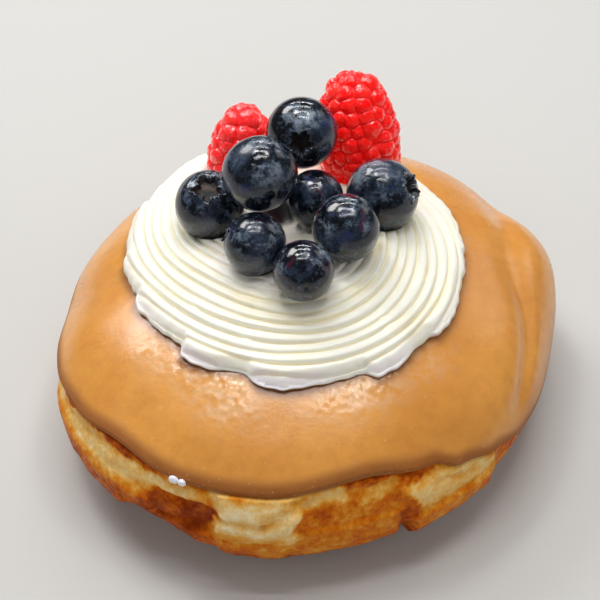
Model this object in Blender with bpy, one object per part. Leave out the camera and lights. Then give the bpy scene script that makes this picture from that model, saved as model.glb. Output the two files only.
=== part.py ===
# Flan doughnut: a plump fried doughnut under caramel icing, with a piped swirl
# of cream, eight blueberries and two raspberries heaped on its middle.
# Metres, +Z up. The origin is on the table under the middle, the front faces -Y.

import math

import bmesh
import bpy
from mathutils import Matrix, Vector

# Middle of the bounding box, which is moved onto the origin
BOX_MIDDLE = (0.001147, -0.000293, 0.0)

# Clearances
GAP = 0.00035
SOCKET_GAP = 0.0005
# Share of a berry's radius at which its socket turns straight, at 45 degrees
SOCKET_KNEE = 0.7
WELD = 0.000001
SHARP_ANGLE = 50.0

# The plump body that dough and icing share
BODY_RADIUS = 0.0548
BODY_STRETCH = 0.0025
BODY_SQUASH = -0.0009
# Bulges and hollows of its outline, as angle, spread and how proud
BODY_LOBES = (
    (34.0, 8.0, -0.0017), (135.0, 14.0, 0.0004), (180.0, 8.0, -0.0014), (212.0, 13.0, 0.0008),
    (260.0, 16.0, 0.0006), (350.0, 11.0, -0.0009),
)
EQUATOR = 0.017
DOME_HEIGHT = 0.0233
DOME_POWER = 2.1
BELLY_DEPTH = 0.018
BELLY_POWER = 3.4
RING_COLUMNS = 72
FRONT_ANGLE = 258.0
FRONT_SPREAD = 45.0
FRONT_CROWDING = 0.35

# Icing: the height of its lower edge round the doughnut, as angle and height
ICING_EDGE = (
    (20, 0.0155), (60, 0.0172), (85, 0.0160), (112, 0.0190), (150, 0.0178), (180, 0.0200),
    (199, 0.0218), (212, 0.0235), (227, 0.0252), (241, 0.0244), (260, 0.0248), (282, 0.0262),
    (298, 0.0243), (306, 0.0213), (316, 0.0187), (325, 0.0164), (345, 0.0148),
)
ICING_SKIN = 0.0023
ICING_PROUD = 0.0003
LIP_ROLL = 0.0005
FOLD_PATH = (
    (36, 0.0270), (27, 0.0295), (18, 0.0312), (9, 0.0315), (0, 0.0306),
    (352, 0.0285), (344, 0.0268), (335, 0.0248), (327, 0.0225),
)
FOLD_MIDDLE = 0.0
FOLD_ENDS = 12.0
FOLD_DEPTH = 0.0011
FOLD_WIDTH = 0.0013
LUMP_ANGLE = 17.0
LUMP_SPREAD = 11.0
LUMP_HEIGHT = 0.0250
LUMP_RISE = 0.0060
LUMP_PROUD = 0.0027
HALVINGS = 20
# Outside, from the top down: share of the way from the edge to the top
ICING_STEPS = (0.80, 0.62, 0.46, 0.36, 0.27, 0.19, 0.11, 0.05)
LIP_SPREAD = 0.09
# Round the lip: degrees above the edge and how proud of the body
LIP_STEPS = ((1.6, LIP_ROLL), (0.0, 0.0), (0.3, -0.5 * ICING_SKIN))

# Dough: what shows below the icing, as
# (angle, half width, height, half height, proud, edge softness in degrees)
DOUGH_PATCHES = (
    (222.0, 24.0, 0.0215, 0.0028, -0.0005, 6.0),
    (222.0, 24.0, 0.0135, 0.0040, 0.0006, 7.0),
    (244.0, 6.5, 0.0175, 0.0042, -0.0022, 1.6),
    (259.5, 8.0, 0.0200, 0.0056, 0.0011, 1.8),
    (279.0, 10.0, 0.0210, 0.0040, -0.0008, 2.5),
    (304.0, 13.0, 0.0180, 0.0040, 0.0006, 1.8),
    (291.5, 1.8, 0.0075, 0.0050, -0.0018, 1.4),
    (236.5, 7.5, 0.0080, 0.0055, -0.0015, 5.0),
    (259.0, 7.0, 0.0080, 0.0060, 0.0008, 3.0),
    (304.0, 12.0, 0.0090, 0.0055, 0.0013, 3.0),
    (20.0, 20.0, 0.0100, 0.0035, 0.0005, 9.0),
    (75.0, 14.0, 0.0120, 0.0040, -0.0007, 8.0),
    (118.0, 16.0, 0.0130, 0.0045, 0.0006, 6.0),
    (152.0, 10.0, 0.0120, 0.0040, -0.0009, 5.0),
)
DOUGH_SET_BACK = 0.0004
HEIGHT_SOFTNESS = 0.0012
BELLY_STEPS = (0.15, 0.31, 0.46, 0.59, 0.70, 0.79, 0.87, 0.94)
NECK_RISE = 2.5
DOME_STEPS = (0.24, 0.50, 0.76)

# Cream: a swirl of ridges round its own middle
CREAM_CENTRE = (-0.0025, 0.0020)
CREAM_COLUMNS = 78
# The columns of the swirl start at its back
CREAM_START = 90.0
CREAM_RADIUS = 0.0354
# Bulges and hollows of the swirl's outline, as angle, spread and how proud
CREAM_LOBES = ((283.0, 26.0, 0.0010), (207.0, 15.0, -0.0010), (128.0, 36.0, 0.0026))
CREAM_REAR_ANGLE = 125.0
CREAM_REAR_SPREAD = 38.0
CREAM_THICK = 0.0026
CREAM_SHOULDER = 0.0022
SHOULDER_RADIUS = 0.015
SHOULDER_SPREAD = 0.007
CREAM_REAR_THICK = 0.0038
CREAM_REAR_FROM = 0.020
CREAM_REAR_REACH = 0.010
CREAM_REAR_EDGE = 0.0024
CREAM_EDGE_FRONT = 0.0009
CREAM_EDGE_SIDE = 0.0020
RIM_ROUND = 0.0022
THINNEST = 1.9
RIDGE_PITCH = 0.00214
RIDGE_ARMS = 11
RIDGE_START = 0.0298
RIDGE_STEP = 0.00055
RIDGE_HALF_DEPTH = 0.00036
RIDGE_NUMBERS = range(-15, 11)
RIDGES_INNER = 0.011
RIDGES_FADE = 0.006
RIDGE_CLEAR = 0.0003
# How far a ridge strays from an even spiral, as amount, waves round and angle
RIDGE_DRIFT = ((0.00083, 1.0, 73.0), (0.00156, 2.0, -41.0), (0.00070, 3.0, 29.0))
# Each ridge has its foot, then its crest, from the outside in
RIDGE_LINES = [(number, part) for number in reversed(RIDGE_NUMBERS) for part in ("foot", "crest")]
INNER_RADII = (0.0085, 0.0058, 0.0030, 0.0)
UNDER_RADII = (0.033, 0.025, 0.015, 0.0)
EDGE_TUCK = 0.0003
# Torn frills of the edge, as start, how proud and length
FRILL_CREST = 0.3
FRILLS = (
    (18, 0.0005, 26), (52, 0.0008, 30), (88, 0.0007, 28), (121, 0.0009, 26), (152, 0.0010, 25),
    (178, 0.0008, 20), (199, 0.0013, 29), (229, 0.0019, 24), (254, 0.0021, 36),
    (291, 0.0020, 24), (316, 0.0012, 30),
)

# Blueberries: place, radius and the way the calyx faces
BLUEBERRIES = (
    ((-0.0099, 0.0030, 0.0580), 0.0077, (0.3, 0.5, -0.8)),
    ((-0.0014, 0.0160, 0.0584), 0.0075, (-0.05, -0.95, 0.32)),
    ((-0.0206, 0.0059, 0.0474), 0.0073, (0.0, -0.31, 0.95)),
    ((-0.0108, -0.0082, 0.0490), 0.0064, (-0.87, 0.33, 0.35)),
    ((-0.0011, -0.0166, 0.0494), 0.0061, (-0.27, 0.85, -0.45)),
    ((0.0075, -0.0054, 0.0508), 0.0069, (0.2, 0.39, -0.89)),
    ((0.0154, 0.0078, 0.0484), 0.0077, (0.83, -0.23, 0.5)),
    ((0.0013, 0.0063, 0.0487), 0.0061, (0.2, 0.3, -0.93)),
)
BLUEBERRY_COLUMNS = 15
CROWN_LOBES = 5
CROWN_LOBE = 0.035
# Rings from the calyx to the stem end, as radius and height over the berry's radius
BLUEBERRY_RINGS = (
    (0.14, 0.80), (0.26, 0.955), (0.36, 0.900), (0.64, 0.74), (0.88, 0.44),
    (0.99, 0.08), (0.965, -0.28), (0.79, -0.61), (0.43, -0.86),
)
CALYX_FLOOR = 0.79
STEM_END = -0.93

# Raspberries: middle of the base, the way the tip points, length, width, size of a bead, bluntness
RASPBERRIES = (
    ((-0.0144, 0.0238, 0.0410), (0.0, 0.27, 0.96), 0.0166, 0.0160, 0.0037, 1.8),
    ((0.0122, 0.0234, 0.0410), (-0.14, 0.27, 0.95), 0.0243, 0.0186, 0.0034, 2.8),
)
WIDEST = 0.28
BASE_NARROWING = 0.34
ROW_SPACING = 0.88
BEAD_RISE = 0.0008
BEAD_CAP = 0.0004
BEAD_INSET = 0.00055
FIRST_ROW = 0.35
FEWEST_BEADS = 3
WALK_STEPS = 200
# Faces that look further down than this are the flat base
BASE_FACING = -0.8

COLOURS = {
    "fried_dough": ((0.47, 0.22, 0.06, 1.0), 0.65),
    "caramel_icing": ((0.64, 0.33, 0.11, 1.0), 0.35),
    "cream": ((0.86, 0.85, 0.77, 1.0), 0.5),
    "blueberry": ((0.02, 0.025, 0.04, 1.0), 0.25),
    "raspberry": ((0.75, 0.02, 0.02, 1.0), 0.3),
}


def clear_scene():
    for thing in list(bpy.data.objects):
        bpy.data.objects.remove(thing, do_unlink=True)


def make_material(name):
    colour, roughness = COLOURS[name]
    material = bpy.data.materials.new(name)
    material.use_nodes = True
    shader = material.node_tree.nodes["Principled BSDF"]
    shader.inputs["Base Color"].default_value = colour
    shader.inputs["Roughness"].default_value = roughness
    shader.inputs["Metallic"].default_value = 0.0
    return material


def make_collection(name):
    collection = bpy.data.collections.new(name)
    bpy.context.scene.collection.children.link(collection)
    return collection


def placement(place):
    return Matrix.Translation(Vector(place) - Vector(BOX_MIDDLE))


def add_object(name, bm, material, collection):
    mesh = bpy.data.meshes.new(name)
    bm.to_mesh(mesh)
    bm.free()
    mesh.materials.append(material)
    mesh.shade_smooth()
    mesh.set_sharp_from_angle(angle=math.radians(SHARP_ANGLE))
    thing = bpy.data.objects.new(name, mesh)
    thing.matrix_world = placement((0.0, 0.0, 0.0))
    collection.objects.link(thing)
    return thing


def bell(distance, spread):
    return math.exp(-0.5 * (distance / spread) ** 2)


def smooth_step(value):
    value = min(max(value, 0.0), 1.0)
    return value * value * (3.0 - 2.0 * value)


def plateau(distance, half_width, softness):
    # 1 within the half width and 0 outside it, with soft edges
    return smooth_step((half_width - abs(distance)) / softness + 0.5)


def angle_between(first, second):
    # Turn from the second angle to the first, between -180 and 180 degrees
    return (first - second + 180.0) % 360.0 - 180.0


def value_round(points, angle):
    # Smooth value between (angle, value) points that go once round
    for index, (start, low) in enumerate(points):
        end, high = points[(index + 1) % len(points)]
        width = (end - start) % 360.0
        along = (angle - start) % 360.0
        if along <= width:
            return low + (high - low) * smooth_step(along / width)
    return points[0][1]


def column_angle(column, columns, start=0.0):
    # Columns stand closer together at the front
    turn = start + 360.0 * column / columns
    lean = math.degrees(FRONT_CROWDING * math.sin(math.radians(turn - FRONT_ANGLE)))
    return turn - lean


def wrapped_grid(columns, rows, place):
    # A closed form made of one grid whose two ends meet and whose first and
    # last rows are single points. place(column, row) gives each point.
    bm = bmesh.new()
    bmesh.ops.create_grid(bm, x_segments=columns, y_segments=rows - 1, size=0.5)
    for vert in bm.verts:
        column = round((vert.co.x + 0.5) * columns)
        row = round((vert.co.y + 0.5) * (rows - 1))
        vert.co = place(column, row)
    bmesh.ops.remove_doubles(bm, verts=bm.verts, dist=WELD)
    bmesh.ops.recalc_face_normals(bm, faces=bm.faces)
    return bm


# The shared body

def body_radius(angle):
    twice = math.radians(2.0 * angle)
    radius = BODY_RADIUS + BODY_SQUASH * math.cos(twice) + BODY_STRETCH * math.sin(twice)
    for middle, spread, proud in BODY_LOBES:
        radius += proud * bell(angle_between(angle, middle), spread)
    return radius


def body_point(angle, steep, proud):
    # steep runs from -90 degrees under the middle, by 0 at the widest, to 90 on top
    radius = body_radius(angle)
    upper = steep >= 0.0
    height = DOME_HEIGHT if upper else BELLY_DEPTH
    power = DOME_POWER if upper else BELLY_POWER
    across = max(math.cos(math.radians(steep)), 0.0)
    up = abs(math.sin(math.radians(steep)))
    size = (across ** power + up ** power) ** (-1.0 / power)
    across *= size
    up *= size
    side = 1.0 if upper else -1.0
    out = Vector((across ** (power - 1.0) / radius, side * up ** (power - 1.0) / height)).normalized()
    reach = max(radius * across + proud * out.x, 0.0)
    rise = EQUATOR + side * height * up + proud * out.y
    turn = math.radians(angle)
    return Vector((reach * math.cos(turn), reach * math.sin(turn), max(rise, 0.0)))


def steep_at(height):
    # The steepness at which the body reaches a height
    upper = height >= EQUATOR
    depth = DOME_HEIGHT if upper else BELLY_DEPTH
    power = DOME_POWER if upper else BELLY_POWER
    up = min(abs(height - EQUATOR) / depth, 1.0)
    across = (1.0 - up ** power) ** (1.0 / power)
    return math.degrees(math.atan2(up if upper else -up, across))


def edge_steep(angle):
    return steep_at(value_round(ICING_EDGE, angle))


# Dough

def dough_relief(angle, height):
    relief = -DOUGH_SET_BACK
    for middle, half_width, level, half_height, proud, softness in DOUGH_PATCHES:
        sideways = plateau(angle_between(angle, middle), half_width, softness)
        relief += proud * sideways * plateau(height - level, half_height, HEIGHT_SOFTNESS)
    return relief


def dough_point(column, row):
    angle = column_angle(column, RING_COLUMNS)
    base = steep_at(0.0)
    edge = edge_steep(angle)
    neck = edge + NECK_RISE
    below = len(BELLY_STEPS)
    if row == 0:
        return Vector((0.0, 0.0, 0.0))
    if row == 1:
        return body_point(angle, base, 0.0)
    if row < below + 2:
        steep = base + (edge - base) * BELLY_STEPS[row - 2]
        height = body_point(angle, steep, 0.0).z
        return body_point(angle, steep, dough_relief(angle, height))
    if row == below + 2:
        return body_point(angle, neck, -ICING_SKIN)
    step = row - below - 3
    if step < len(DOME_STEPS):
        return body_point(angle, neck + (90.0 - neck) * DOME_STEPS[step], -ICING_SKIN)
    return Vector((0.0, 0.0, EQUATOR + DOME_HEIGHT - ICING_SKIN))


def make_dough():
    return wrapped_grid(RING_COLUMNS, len(BELLY_STEPS) + len(DOME_STEPS) + 4, dough_point)


# Icing

def fold_relief(angle, height):
    # The lump at the right and the crease on its inner side
    lump = LUMP_PROUD * bell(angle_between(angle, LUMP_ANGLE), LUMP_SPREAD)
    lump *= bell(height - LUMP_HEIGHT, LUMP_RISE)
    turn = [angle_between(place[0], FOLD_MIDDLE) for place in FOLD_PATH]
    here = angle_between(angle, FOLD_MIDDLE)
    inside = plateau(here - 0.5 * (turn[0] + turn[-1]), 0.5 * (turn[0] - turn[-1]), FOLD_ENDS)
    level = FOLD_PATH[0][1] if here > turn[0] else FOLD_PATH[-1][1]
    for index in range(len(turn) - 1):
        if turn[index] >= here >= turn[index + 1]:
            share = (turn[index] - here) / (turn[index] - turn[index + 1])
            level = FOLD_PATH[index][1] + share * (FOLD_PATH[index + 1][1] - FOLD_PATH[index][1])
    return lump - FOLD_DEPTH * inside * bell(height - level, FOLD_WIDTH)


def icing_skin(angle, steep):
    height = body_point(angle, steep, 0.0).z
    return body_point(angle, steep, ICING_PROUD + fold_relief(angle, height))


def icing_height(x, y):
    # Height of the icing's top over a place on the dome, found by halving
    angle = math.degrees(math.atan2(y, x))
    reach = math.hypot(x, y)
    low, high = 0.0, 90.0
    for _ in range(HALVINGS):
        steep = 0.5 * (low + high)
        place = icing_skin(angle, steep)
        if math.hypot(place.x, place.y) > reach:
            low = steep
        else:
            high = steep
    return place.z


def icing_point(column, row):
    angle = column_angle(column, RING_COLUMNS)
    edge = edge_steep(angle)
    outside = len(ICING_STEPS)
    lip = len(LIP_STEPS)
    inside = len(DOME_STEPS)
    if row == 0:
        return Vector((0.0, 0.0, EQUATOR + DOME_HEIGHT + ICING_PROUD))
    if row <= outside:
        share = ICING_STEPS[row - 1]
        steep = edge + (90.0 - edge) * share
        height = body_point(angle, steep, 0.0).z
        roll = LIP_ROLL * bell(share, LIP_SPREAD)
        return body_point(angle, steep, ICING_PROUD + roll + fold_relief(angle, height))
    if row <= outside + lip:
        above, proud = LIP_STEPS[row - outside - 1]
        return body_point(angle, edge + above, proud)
    if row == outside + lip + 1:
        return body_point(angle, edge + NECK_RISE, GAP - ICING_SKIN)
    step = row - outside - lip - 2
    if step < inside:
        neck = edge + NECK_RISE
        return body_point(angle, neck + (90.0 - neck) * DOME_STEPS[step], GAP - ICING_SKIN)
    return Vector((0.0, 0.0, EQUATOR + DOME_HEIGHT - ICING_SKIN + GAP))


def make_icing():
    rows = len(ICING_STEPS) + len(LIP_STEPS) + len(DOME_STEPS) + 3
    return wrapped_grid(RING_COLUMNS, rows, icing_point)


# Cream

def ridge_drift(angle):
    drift = 0.0
    for amount, waves, middle in RIDGE_DRIFT:
        drift += amount * math.cos(math.radians(waves * (angle - middle)))
    return drift


def ridge_radius(number, turn):
    # turn runs from 90 to 450 degrees, once round from the back
    inward = RIDGE_ARMS * RIDGE_PITCH * (turn - 270.0) / 360.0
    return RIDGE_START + RIDGE_PITCH * number - inward + ridge_drift(turn)


def cream_edge(angle):
    # Radius of the swirl's edge, with the torn frills that stick out of it
    edge = CREAM_RADIUS
    for middle, spread, proud in CREAM_LOBES:
        edge += proud * bell(angle_between(angle, middle), spread)
    for start, proud, length in FRILLS:
        along = ((angle - start) % 360.0) / length
        if along < 1.0:
            falling = (along - FRILL_CREST) / (1.0 - FRILL_CREST)
            edge += proud * smooth_step(along / FRILL_CREST) * (1.0 - smooth_step(falling))
    return edge


def berry_underside(x, y):
    # Lowest height of any berry over a place, with its clearance
    lowest = math.inf
    for (bx, by, bz), radius, _ in BLUEBERRIES:
        wide = radius + SOCKET_GAP
        away = math.hypot(x - bx, y - by)
        reach = min(away, SOCKET_KNEE * wide)
        lowest = min(lowest, bz - math.sqrt(wide * wide - reach * reach) + away - reach)
    for (bx, by, bz), lean, length, width, _, _ in RASPBERRIES:
        foot = 0.5 * width * (1.0 - BASE_NARROWING)
        wide = 0.5 * width + SOCKET_GAP
        away = math.hypot(x - bx, y - by)
        tilt = ((x - bx) * lean[0] + (y - by) * lean[1]) / lean[2]
        if away < wide:
            curve = max(away - foot, 0.0) / (wide - foot)
            rise = length * WIDEST * (1.0 - math.sqrt(1.0 - curve * curve))
            lowest = min(lowest, bz - SOCKET_GAP - tilt + rise)
    return lowest


def cream_top(angle, radius, ridge):
    turn = math.radians(angle)
    x = CREAM_CENTRE[0] + radius * math.cos(turn)
    y = CREAM_CENTRE[1] + radius * math.sin(turn)
    icing = icing_height(x, y)
    edge = cream_edge(angle)
    front = bell(angle_between(angle, FRONT_ANGLE), FRONT_SPREAD)
    rear = bell(angle_between(angle, CREAM_REAR_ANGLE), CREAM_REAR_SPREAD)
    thin = CREAM_EDGE_SIDE + (CREAM_EDGE_FRONT - CREAM_EDGE_SIDE) * front + CREAM_REAR_EDGE * rear
    thick = CREAM_THICK + CREAM_SHOULDER * bell(radius - SHOULDER_RADIUS, SHOULDER_SPREAD)
    thick += CREAM_REAR_THICK * rear * smooth_step((radius - CREAM_REAR_FROM) / CREAM_REAR_REACH)
    inward = smooth_step((edge - radius) / RIM_ROUND)
    fade = smooth_step((radius - RIDGES_INNER) / RIDGES_FADE) * inward
    top = icing + thin + (thick - thin) * inward + ridge * RIDGE_HALF_DEPTH * fade
    top = max(min(top, berry_underside(x, y)), icing + THINNEST * GAP)
    return Vector((x, y, top))


def cream_under(angle, radius):
    turn = math.radians(angle)
    x = CREAM_CENTRE[0] + radius * math.cos(turn)
    y = CREAM_CENTRE[1] + radius * math.sin(turn)
    return Vector((x, y, icing_height(x, y) + GAP))


def cream_point(column, row):
    turn = column_angle(column, CREAM_COLUMNS, CREAM_START)
    angle = turn % 360.0
    edge = cream_edge(angle)
    lines = len(RIDGE_LINES)
    if row < len(UNDER_RADII):
        return cream_under(angle, UNDER_RADII[-1 - row])
    row -= len(UNDER_RADII)
    if row == 0:
        return cream_under(angle, edge - EDGE_TUCK)
    if row == 1:
        return cream_top(angle, edge, 0.0)
    row -= 2
    if row < lines:
        number, part = RIDGE_LINES[row]
        radius = ridge_radius(number, turn)
        height = 1.0
        if part == "foot":
            radius += RIDGE_STEP
            height = -1.0
        if radius > edge - RIDGE_CLEAR:
            return cream_top(angle, edge, 0.0)
        if radius < RIDGES_INNER + RIDGE_CLEAR:
            return cream_top(angle, RIDGES_INNER, 0.0)
        return cream_top(angle, radius, height)
    return cream_top(angle, INNER_RADII[row - lines], 0.0)


def make_cream():
    rows = len(UNDER_RADII) + 2 + len(RIDGE_LINES) + len(INNER_RADII)
    return wrapped_grid(CREAM_COLUMNS, rows, cream_point)


# Berries

def turned_to(direction):
    return Vector(direction).to_track_quat("Z", "Y").to_matrix().to_4x4()


def make_blueberry(radius):
    def place(column, row):
        turn = 2.0 * math.pi * column / BLUEBERRY_COLUMNS
        if row == 0:
            return Vector((0.0, 0.0, CALYX_FLOOR * radius))
        if row > len(BLUEBERRY_RINGS):
            return Vector((0.0, 0.0, STEM_END * radius))
        across, up = BLUEBERRY_RINGS[row - 1]
        if row == 2:
            across += CROWN_LOBE * math.cos(CROWN_LOBES * turn)
        return radius * Vector((across * math.cos(turn), across * math.sin(turn), up))

    return wrapped_grid(BLUEBERRY_COLUMNS, len(BLUEBERRY_RINGS) + 2, place)


def raspberry_width(share, width, bluntness):
    # Half width at a share of the way from base to tip
    if share < WIDEST:
        narrowing = (WIDEST - share) / WIDEST
        return 0.5 * width * (1.0 - BASE_NARROWING * narrowing ** 2)
    taper = (share - WIDEST) / (1.0 - WIDEST)
    return 0.5 * width * math.sqrt(max(1.0 - taper ** bluntness, 0.0))


def bead_centres(length, width, bead, bluntness):
    # Rings of beads from the base to the tip, each half a bead on from the last
    centres = [Vector((0.0, 0.0, 0.0))]
    travelled = FIRST_ROW * bead
    ring = 0
    last = Vector((raspberry_width(0.0, width, bluntness), 0.0))
    walked = 0.0
    for step in range(1, WALK_STEPS + 1):
        share = step / WALK_STEPS
        here = Vector((raspberry_width(share, width, bluntness), share * length))
        walked += (here - last).length
        last = here
        if walked < travelled or here.x < FIRST_ROW * bead:
            continue
        count = max(round(2.0 * math.pi * here.x / bead), FEWEST_BEADS)
        for index in range(count):
            turn = 2.0 * math.pi * (index + 0.5 * (ring % 2)) / count
            centres.append(Vector((here.x * math.cos(turn), here.x * math.sin(turn), here.y)))
        ring += 1
        travelled += ROW_SPACING * bead
    centres.append(Vector((0.0, 0.0, length)))
    return centres


def make_raspberry(length, width, bead, bluntness):
    # Each centre's share of the skin becomes one raised bead
    sunk = BEAD_RISE + BEAD_CAP
    bm = bmesh.new()
    for centre in bead_centres(length - sunk, width - 2.0 * sunk, bead, bluntness):
        bm.verts.new(centre)
    bmesh.ops.convex_hull(bm, input=bm.verts[:])
    bmesh.ops.recalc_face_normals(bm, faces=bm.faces[:])
    centres = bm.verts[:]
    links = bm.edges[:]
    bmesh.ops.poke(bm, faces=bm.faces[:])
    bmesh.ops.rotate_edges(bm, edges=links, use_ccw=False)
    bmesh.ops.dissolve_verts(bm, verts=centres)
    bm.normal_update()
    beads = [face for face in bm.faces if face.normal.z > BASE_FACING]
    bmesh.ops.inset_individual(bm, faces=beads, thickness=BEAD_INSET, depth=BEAD_RISE)
    bmesh.ops.poke(bm, faces=beads, offset=BEAD_CAP)
    return bm


def main():
    clear_scene()
    doughnut = make_collection("flan_doughnut")
    materials = {name: make_material(name) for name in COLOURS}
    add_object("dough", make_dough(), materials["fried_dough"], doughnut)
    add_object("icing", make_icing(), materials["caramel_icing"], doughnut)
    add_object("cream", make_cream(), materials["cream"], doughnut)
    for number, (place, radius, facing) in enumerate(BLUEBERRIES, start=1):
        berry = add_object(f"blueberry_{number}", make_blueberry(radius), materials["blueberry"], doughnut)
        berry.matrix_world = placement(place) @ turned_to(facing)
    for number, (place, lean, length, width, bead, bluntness) in enumerate(RASPBERRIES, start=1):
        shape = make_raspberry(length, width, bead, bluntness)
        berry = add_object(f"raspberry_{number}", shape, materials["raspberry"], doughnut)
        berry.matrix_world = placement(place) @ turned_to(lean)


main()
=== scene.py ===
import math

import bmesh
import bpy
import numpy as np
from mathutils import Matrix, Vector, noise


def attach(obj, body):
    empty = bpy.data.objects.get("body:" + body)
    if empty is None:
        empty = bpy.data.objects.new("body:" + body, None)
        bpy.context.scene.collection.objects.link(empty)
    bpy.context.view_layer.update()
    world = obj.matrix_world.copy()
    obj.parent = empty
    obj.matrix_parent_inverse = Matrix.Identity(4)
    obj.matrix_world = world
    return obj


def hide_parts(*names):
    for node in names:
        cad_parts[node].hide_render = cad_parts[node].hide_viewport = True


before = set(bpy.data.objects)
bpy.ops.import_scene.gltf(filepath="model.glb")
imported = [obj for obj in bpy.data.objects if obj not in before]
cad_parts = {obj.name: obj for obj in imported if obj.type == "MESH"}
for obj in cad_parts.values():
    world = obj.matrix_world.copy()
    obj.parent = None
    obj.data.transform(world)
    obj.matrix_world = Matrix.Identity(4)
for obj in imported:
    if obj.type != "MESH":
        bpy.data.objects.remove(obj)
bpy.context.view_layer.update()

# Middle of the model's own working frame, as the part's source has it
workMiddle = Vector((0.001147, -0.000293, 0.0))
weldDistance = 0.000001
tiny = 0.000001


# Small helpers

def bell(distance, spread):
    return np.exp(-0.5 * (distance / spread) ** 2)


def smoothStep(value):
    value = np.clip(value, 0.0, 1.0)
    return value * value * (3.0 - 2.0 * value)


def plateau(distance, halfWidth, softness):
    # 1 within the half width, 0 outside it
    return smoothStep((halfWidth - np.abs(distance)) / softness + 0.5)


def turnFrom(first, second):
    # degrees from the second angle to the first, -180 to 180
    return (first - second + 180.0) % 360.0 - 180.0


def valueRound(points, angle):
    # smooth value between (angle, value) points that go once round
    angle = np.asarray(angle, float) % 360.0
    result = np.full(angle.shape, float(points[0][1]))
    for index, (start, low) in enumerate(points):
        end, high = points[(index + 1) % len(points)]
        width = (end - start) % 360.0
        along = (angle - start) % 360.0
        inside = along <= width
        result = np.where(inside, low + (high - low) * smoothStep(along / width), result)
    return result


def linear(*colour):
    # screen colour 0-255 to the linear values that shaders take
    return np.array([((c / 255.0 + 0.055) / 1.055) ** 2.4 if c > 10 else c / 3294.6 for c in colour])


def opaque(*colour):
    return (*linear(*colour).tolist(), 1.0)


def wander(points, size, octaves, seed):
    # smooth noise, about -1 to 1, that repeats for a seed
    offset = Vector((seed * 13.7, seed * 7.9, seed * 3.1))
    return np.array([noise.fractal(Vector(p) / size + offset, 1.0, 2.0, octaves) for p in points.tolist()])


def wanderOn(mask, points, size, octaves, seed):
    # the same where the mask holds, 0 elsewhere
    result = np.zeros(len(points))
    result[mask] = wander(points[mask], size, octaves, seed)
    return result


def stack(x, y, z):
    return np.stack([x, y, z], axis=-1)


def pick(here, chosen, others):
    return [np.where(here, new, old) for new, old in zip(chosen, others)]


def spots(angle, level, places):
    # sum of soft places: angle, level, spread along, spread across, how strong
    total = 0.0
    for middle, height, along, across, amount in places:
        total = total + amount * bell(turnFrom(angle, middle), along) * bell(level - height, across)
    return total


def tinted(tone, mask, colour):
    return tone + (linear(*colour) - tone) * mask[:, None]


def inScene(name, data):
    thing = bpy.data.objects.new(name, data)
    bpy.context.scene.collection.objects.link(thing)
    return thing


# Every piece but the fleck is one grid whose ends meet and whose first and last rows close to a point

def makeGrid(columns, rows, layerName, place):
    bm = bmesh.new()
    bmesh.ops.create_grid(bm, x_segments=columns, y_segments=rows - 1, size=0.5)
    layer = bm.verts.layers.float_color.new(layerName)
    verts = bm.verts[:]
    column = np.rint((np.array([v.co.x for v in verts]) + 0.5) * columns)
    row = np.rint((np.array([v.co.y for v in verts]) + 0.5) * (rows - 1)).astype(int)
    points, painted = place(column, row)
    for vert, point, value in zip(verts, points.tolist(), painted.tolist()):
        vert.co = point
        vert[layer] = (*value, 1.0)
    bmesh.ops.remove_doubles(bm, verts=bm.verts, dist=weldDistance)
    bmesh.ops.recalc_face_normals(bm, faces=bm.faces)
    return bm


def addPiece(name, bm, material, nodes, matrix=None):
    if matrix is not None:
        bmesh.ops.transform(bm, matrix=matrix, verts=bm.verts)
    bmesh.ops.translate(bm, vec=-workMiddle, verts=bm.verts)
    mesh = bpy.data.meshes.new(name)
    bm.to_mesh(mesh)
    bm.free()
    mesh.materials.append(material)
    mesh.shade_smooth()
    piece = inScene(name, mesh)
    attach(piece, "root")
    if nodes:
        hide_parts(*nodes)
    print("made", name, len(mesh.polygons), "faces")
    return piece


frontAngle = 258.0
frontCrowding = 0.35


def crowded(column, columns, start=0.0):
    # columns stand closer together at the front
    turn = start + 360.0 * column / columns
    return turn - np.degrees(frontCrowding * np.sin(np.radians(turn - frontAngle)))


# Shader helpers

def newMaterial(name, roughness, specular=0.5):
    material = bpy.data.materials.new(name)
    material.use_nodes = True
    tree = material.node_tree
    shader = tree.nodes["Principled BSDF"]
    shader.inputs["Roughness"].default_value = roughness
    shader.inputs["Specular IOR Level"].default_value = specular
    return material, tree, shader


def addNode(tree, kind, **values):
    node = tree.nodes.new(kind)
    for key, value in values.items():
        setattr(node, key, value)
    return node


def noiseNode(tree, source, scale, detail=3.0, roughness=0.55):
    node = addNode(tree, "ShaderNodeTexNoise")
    node.inputs["Scale"].default_value = scale
    node.inputs["Detail"].default_value = detail
    node.inputs["Roughness"].default_value = roughness
    tree.links.new(source, node.inputs["Vector"])
    return node.outputs["Fac"]


def rampNode(tree, source, low, high, start=0.0, end=1.0):
    node = addNode(tree, "ShaderNodeMapRange", interpolation_type="SMOOTHSTEP")
    node.inputs["From Min"].default_value = low
    node.inputs["From Max"].default_value = high
    node.inputs["To Min"].default_value = start
    node.inputs["To Max"].default_value = end
    tree.links.new(source, node.inputs["Value"])
    return node.outputs["Result"]


def mathNode(tree, operation, first, second):
    node = addNode(tree, "ShaderNodeMath", operation=operation)
    for index, value in enumerate((first, second)):
        if isinstance(value, (int, float)):
            node.inputs[index].default_value = value
        else:
            tree.links.new(value, node.inputs[index])
    return node.outputs[0]


def times(tree, first, second):
    return mathNode(tree, "MULTIPLY", first, second)


def plus(tree, first, second):
    return mathNode(tree, "ADD", first, second)


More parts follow.
